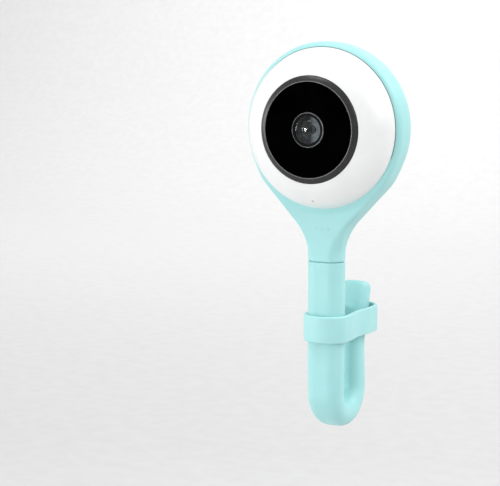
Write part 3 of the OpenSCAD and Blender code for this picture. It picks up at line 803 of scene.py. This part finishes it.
def stem_piece(name, lengths, sizes=None, tip=False):
    """Soft tube through the path lengths given, hollow for the core. Also tells each point's path length."""
    sizes = sizes or [stem_size(s) for s in lengths]
    outer = [section(s, *size) for s, size in zip(lengths, sizes)]
    inner_top = len(lengths) - (TIP_SOLID if tip else 0)
    inner = [section(s, CORE_W, CORE_D) for s in lengths[:inner_top]]
    n = len(outer[0])
    verts = [p for ring in outer + inner for p in ring]
    faces = []

    def band(first, count):
        for i in range(count - 1):
            for k in range(n):
                a, b = first + i * n, first + (i + 1) * n
                k2 = (k + 1) % n
                faces.append((a + k, a + k2, b + k2, b + k))

    band(0, len(outer))
    base = len(outer) * n
    band(base, len(inner))
    for k in range(n):
        k2 = (k + 1) % n
        faces.append((k, k2, base + k2, base + k))
        if not tip:
            a, b = (len(outer) - 1) * n, base + (len(inner) - 1) * n
            faces.append((a + k, a + k2, b + k2, b + k))
    if tip:
        faces.append(tuple(range((len(outer) - 1) * n, len(outer) * n)))
        faces.append(tuple(range(base + (len(inner) - 1) * n, base + len(inner) * n)))
    piece = finish_mesh(name, verts, faces, None, sharp=50)
    where = np.concatenate([np.repeat(lengths, n), np.repeat(lengths[:inner_top], n)])
    return piece, where


def bend_between(piece, start, end):
    """Bakes a stem piece's placement into its mesh; the path is looked up at the two lengths, but the piece is not
    blended between bodies.
    """
    (ya, za), _ = stem_frame(start)
    (yb, zb), _ = stem_frame(end)
    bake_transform(piece)


def make_top_stem():
    """Under the seam: a rounded shoulder that leaves a groove, then the stem down to the two bends."""
    groove = [(-0.7, 0.9), (0.3, 0.9), (0.33, 0.65), (0.37, 0.36), (0.45, 0.13), (0.58, 0.0)]
    low, tilt_end = SEAM_Z - LEAN_LOW, SEAM_Z - BEND_TOP
    body = ring_places(0.75, low)
    lengths = np.concatenate([[at for at, _ in groove], body])
    sizes = [(STEM_W - inset, STEM_D - inset) for _, inset in groove] + [stem_size(s) for s in body]
    top, where = stem_piece("stem_skin_top", lengths, sizes)
    bend_between(top, 0.3, low)
    paint(top, "sleeve_silicone")
    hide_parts("sleeve_top")

    tilt, where = stem_piece("stem_skin_tilt", ring_places(low, tilt_end))
    bend_between(tilt, low, tilt_end)
    paint(tilt, "sleeve_silicone")
    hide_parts("sleeve_upper")

    leg, _ = stem_piece("stem_skin_leg", ring_places(tilt_end, DOWN_LEN))
    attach(leg, "front_leg")
    paint(leg, "sleeve_silicone")
    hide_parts("sleeve_front")


def make_bends():
    """The U: one skin for each link, along its share of the path."""
    for k in range(LINKS):
        start = DOWN_LEN + ARC_LEN * k / LINKS
        end = DOWN_LEN + ARC_LEN * (k + 1) / LINKS
        skin, where = stem_piece(f"stem_skin_bend_{k + 1}", ring_places(start, end))
        bend_between(skin, start, end)
        paint(skin, "sleeve_silicone")
        if k < LINKS - 1:
            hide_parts(f"sleeve_u{k + 1}")


def make_tail():
    """Back leg and the leaning tail with its rounded tip."""
    lean_at = DOWN_LEN + ARC_LEN + TAIL_START
    leg_end = lean_at - TAIL_ARC / 2
    back, _ = stem_piece("stem_skin_back", ring_places(DOWN_LEN + ARC_LEN, leg_end))
    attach(back, "back_leg")
    paint(back, "sleeve_silicone")
    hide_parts("sleeve_back")

    body_end = FULL_LEN - TIP_D
    body = ring_places(leg_end, body_end)
    turn = [math.sin(a) for a in np.linspace(0, math.pi / 2, TIP_RINGS)[1:]]
    cap = [body_end + TIP_D * t for t in turn]
    w_end, d_end = stem_size(body_end)
    sizes = [stem_size(s) for s in body]
    for t in turn:
        shrink = max(1 - t ** TIP_POWER, 0.0) ** (1 / TIP_POWER)
        inset = d_end * (1 - max(shrink, 0.15))
        sizes.append((w_end - inset, d_end - inset))
    tail, where = stem_piece("stem_skin_tail", np.concatenate([body, cap]), sizes, tip=True)
    bend_between(tail, leg_end, leg_end + TAIL_ARC)
    paint(tail, "sleeve_silicone")
    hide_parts("sleeve_tail")


# ---- clip band ----

CLIP_WALL = 1.8
CLIP_EDGE = 0.75  # radius of the band's edges
CLIP_WAIST = 0.8  # how far each side draws in at the middle


def pull_in(y):
    """How far the band draws in between the two legs."""
    t = np.clip((y - LEG_Y - 2) / (2 * BEND_R - 1), 0, 1)
    return CLIP_WAIST * math.sin(math.pi * t) ** 2


def make_clip():
    """Elastic loop with softly rounded edges."""
    half = (clip_hi[0] - clip_lo[0]) / 2
    front = LEG_Y - clip_lo[1]
    back_y = clip_hi[1] - half
    z0, z1 = clip_lo[2], clip_hi[2]

    # round the front leg, back along one side, round behind the tail and forward along the other
    path = []
    for a in np.linspace(math.pi, TAU, 73):
        path.append(((half * math.cos(a), LEG_Y + front * math.sin(a)),
                     (front * math.cos(a), half * math.sin(a))))
    run = np.linspace(LEG_Y, back_y, 40)[1:-1]
    for y in run:
        path.append(((half - pull_in(y), y), (1, 0)))
    for a in np.linspace(0, math.pi, 73):
        path.append(((half * math.cos(a), back_y + half * math.sin(a)), (math.cos(a), math.sin(a))))
    for y in run[::-1]:
        path.append(((pull_in(y) - half, y), (-1, 0)))

    loop = rounded_outline((0, (z0 + z1) / 2), (CLIP_WALL, z1 - z0), CLIP_EDGE, 7)
    n, m = len(loop), len(path)
    verts, faces = [], []
    for (x, y), normal in path:
        nx, ny = np.array(normal) / np.hypot(*normal)
        for t, z in loop:
            offset = t - CLIP_WALL / 2
            verts.append((x + nx * offset, y + ny * offset, z))
    for i in range(m):
        for k in range(n):
            i2, k2 = (i + 1) % m, (k + 1) % n
            faces.append((i * n + k, i2 * n + k, i2 * n + k2, i * n + k2))
    clip = finish_mesh("clip_loop", verts, faces, "clip", sharp=60)
    paint(clip, "clip_silicone")
    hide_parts("clip_band")


# ---- studio, in metres and watts ----

FLOOR_Z = -0.11
FOCAL_MM, SENSOR_MM = 113.49, 36
CAMERA_YAW, CAMERA_PITCH = math.radians(29.072), math.radians(7.903)
CAMERA_FROM_HEAD = (0.28731, -0.57647, 0.04211)


def area_light(name, at, towards, size, watts):
    """Round white lamp at a place, aimed at another."""
    data = bpy.data.lights.new(name, "AREA")
    data.shape, data.size, data.energy = "DISK", size, watts
    light = bpy.data.objects.new(name, data)
    light.location = at
    light.rotation_mode = "QUATERNION"
    light.rotation_quaternion = (Vector(towards) - Vector(at)).to_track_quat("-Z", "Y")
    scene.collection.objects.link(light)


def make_world():
    """Even soft white surround."""
    world = bpy.data.worlds.new("studio")
    scene.world = world
    world.use_nodes = True
    background = world.node_tree.nodes["Background"]
    background.inputs["Color"].default_value = (1, 1, 1, 1)
    background.inputs["Strength"].default_value = 0.72


def make_floor():
    """Pale floor that sweeps up behind the object."""
    reach, turn_y, turn_r, high = 4.0, 1.1, 0.9, 3.2
    side = [(-reach, FLOOR_Z)]
    side += [(turn_y + turn_r * math.sin(a), FLOOR_Z + turn_r * (1 - math.cos(a)))
             for a in np.linspace(0, math.pi / 2, 25)]
    side += [(turn_y + turn_r, high)]
    verts = [(x, y, z) for x in (-reach, reach) for y, z in side]
    n = len(side)
    faces = [(k, k + 1, n + k + 1, n + k) for k in range(n - 1)]
    floor = finish_mesh("floor", np.array(verts) / MM, faces)
    paint_pale = moulded("floor_paint", (0.58, 0.58, 0.58), (0.61, 0.61, 0.61), rough=(0.6, 0.7))
    floor.data.materials.append(paint_pale)


def make_studio():
    """White surround, floor and six lamps: five on the head and one on the wall behind."""
    make_world()
    make_floor()
    head = (0, RIM_Y * MM, HEAD_Z * MM)
    area_light("key", (-0.25, -0.35, 1.05), head, 0.5, 3.6)
    area_light("left", (-1.0, -0.35, 0.15), head, 0.4, 2.4)
    area_light("right", (0.90, -0.25, 0.62), head, 0.6, 3.1)
    area_light("catch", (-0.508, -0.885, 0.060), head, 0.15, 2.6)
    area_light("back", (0.60, 0.35, 0.80), head, 0.5, 5.0)
    area_light("wash", (-0.5, 0.75, 1.5), (-0.9, 2.0, 1.0), 1.2, 30.0)
    scene.view_settings.view_transform = "Standard"


def make_camera():
    """The photo's camera: 29 degrees to the object's left, which is +X, and 8 degrees above it."""
    data = bpy.data.cameras.new("camera")
    data.lens, data.sensor_width = FOCAL_MM, SENSOR_MM
    camera = bpy.data.objects.new("camera", data)
    flat = math.cos(CAMERA_PITCH)
    back = Vector((math.sin(CAMERA_YAW) * flat, -math.cos(CAMERA_YAW) * flat, math.sin(CAMERA_PITCH)))
    x, y, z = CAMERA_FROM_HEAD
    camera.location = (x, y + RIM_Y * MM, z + HEAD_Z * MM)
    camera.rotation_mode = "QUATERNION"
    camera.rotation_quaternion = (-back).to_track_quat("-Z", "Y")
    scene.collection.objects.link(camera)
    scene.camera = camera


make_camera()
make_studio()
paint_cad_nodes()
make_cover()
make_face()
make_window()
make_lens()
make_button()
make_neck_dots()
make_top_stem()
make_bends()
make_tail()
make_clip()
